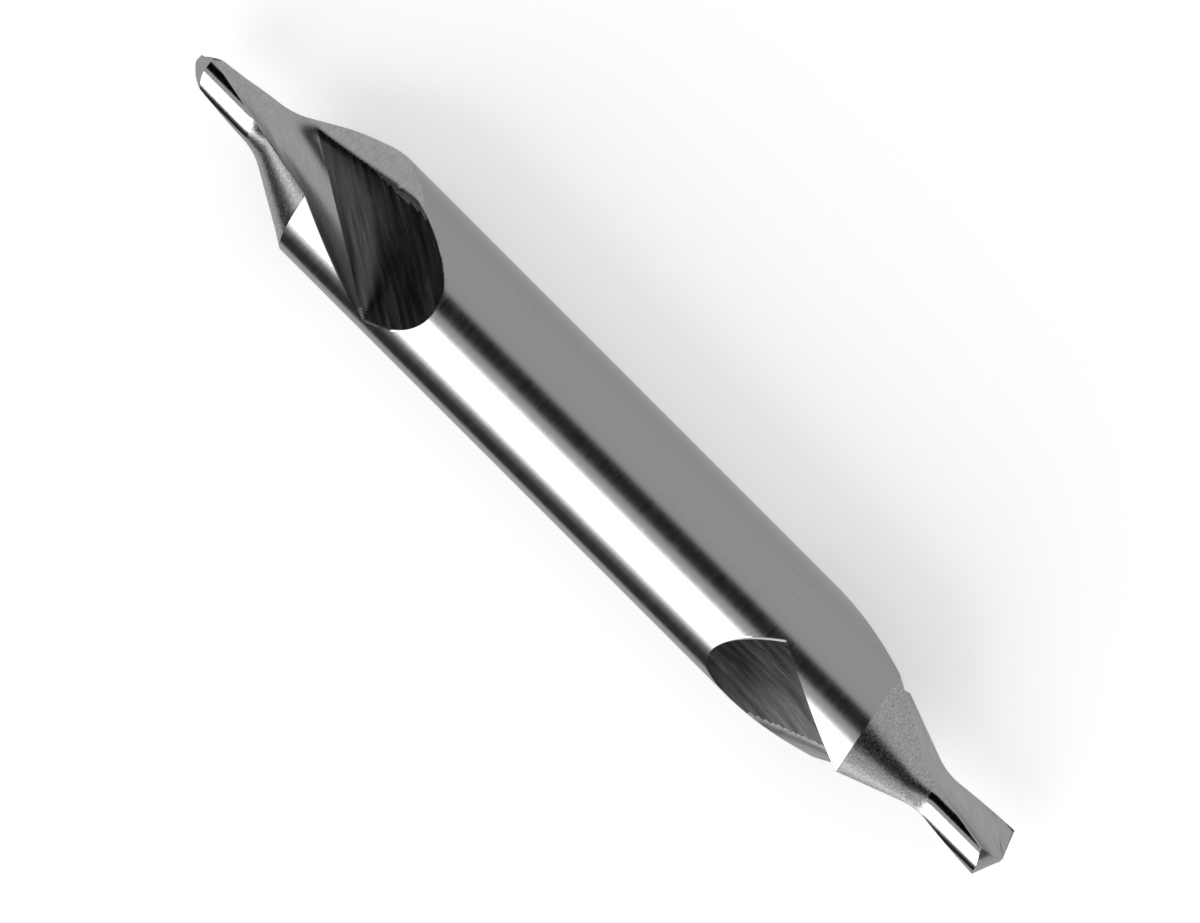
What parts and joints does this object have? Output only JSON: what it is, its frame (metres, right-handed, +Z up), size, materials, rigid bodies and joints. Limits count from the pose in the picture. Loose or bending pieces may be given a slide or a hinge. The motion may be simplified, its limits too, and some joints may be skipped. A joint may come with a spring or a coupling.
{
  "type": "centre drill",
  "caption": "Double-ended centre drill: a short pilot and a countersink with spiral flutes at each end of a plain round shank.",
  "frame": {"origin": "on the drill's axis, half way along its length", "axes": "+X along the axis from the near end to the far end, +Z up and +Y to the side as the drill lies level"},
  "size_m": [0.0458, 0.0062, 0.0062],
  "materials": {
    "ground_steel": "ground bare high-speed steel, shiny on the shank and duller in the flutes"
  },
  "bodies": {
    "root": {"drill_body": "ground_steel"}
  },
  "joints": []
}
